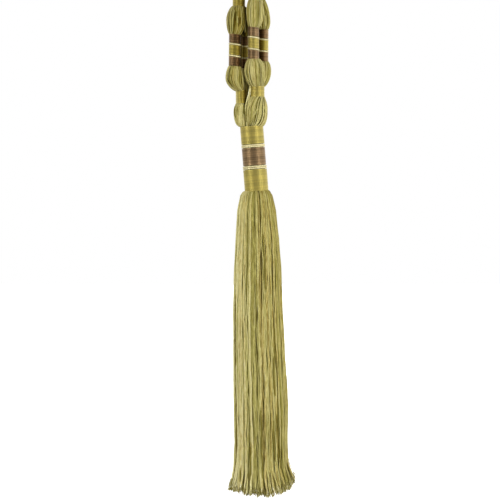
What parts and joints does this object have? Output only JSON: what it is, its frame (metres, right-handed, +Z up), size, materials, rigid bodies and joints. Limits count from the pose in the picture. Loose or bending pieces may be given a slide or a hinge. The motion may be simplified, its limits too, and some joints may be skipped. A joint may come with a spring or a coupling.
{
  "type": "tassel tieback",
  "caption": "Curtain tieback: a hanging loop of two yarn skeins, bound with coloured thread, that ends in one long cut-yarn tassel.",
  "frame": {"origin": "where the inside of the loop's top rests on its hook", "axes": "+Z up, +X to the right and +Y away from a viewer who sees the front, as it hangs"},
  "size_m": [0.0599, 0.048, 0.6437],
  "materials": {
    "skirt_yarn": "lustrous viscose yarn, cut ends",
    "skein_yarn": "lustrous viscose yarn in skeins",
    "gold_thread": "satin thread, wound close",
    "brown_thread": "satin thread, wound close",
    "cream_cord": "fine cord, wound close"
  },
  "bodies": {
    "root": {"band_left_back_brown_lower": "brown_thread", "band_left_back_brown_upper": "brown_thread", "band_left_back_cream_lower": "cream_cord", "band_left_back_cream_upper": "cream_cord", "band_left_back_gold": "gold_thread", "band_left_front_brown_lower": "brown_thread", "band_left_front_brown_upper": "brown_thread", "band_left_front_cream_lower": "cream_cord", "band_left_front_cream_upper": "cream_cord", "band_left_front_gold": "gold_thread", "band_right_back_brown_lower": "brown_thread", "band_right_back_brown_upper": "brown_thread", "band_right_back_cream_lower": "cream_cord", "band_right_back_cream_upper": "cream_cord", "band_right_back_gold": "gold_thread", "band_right_front_brown_lower": "brown_thread", "band_right_front_brown_upper": "brown_thread", "band_right_front_cream_lower": "cream_cord", "band_right_front_cream_upper": "cream_cord", "band_right_front_gold": "gold_thread", "bight_wrap": "gold_thread", "binding_a_left": "gold_thread", "binding_a_right": "gold_thread", "binding_b_left": "gold_thread", "binding_b_right": "gold_thread", "binding_c_left": "gold_thread", "binding_c_right": "gold_thread", "binding_d_left": "gold_thread", "binding_d_right": "gold_thread", "neck_brown": "brown_thread", "neck_cream_lower": "cream_cord", "neck_cream_upper": "cream_cord", "neck_gold_lower": "gold_thread", "neck_gold_upper": "gold_thread", "skein_back": "skein_yarn", "skein_front": "skein_yarn", "skirt": "skirt_yarn"}
  },
  "joints": []
}
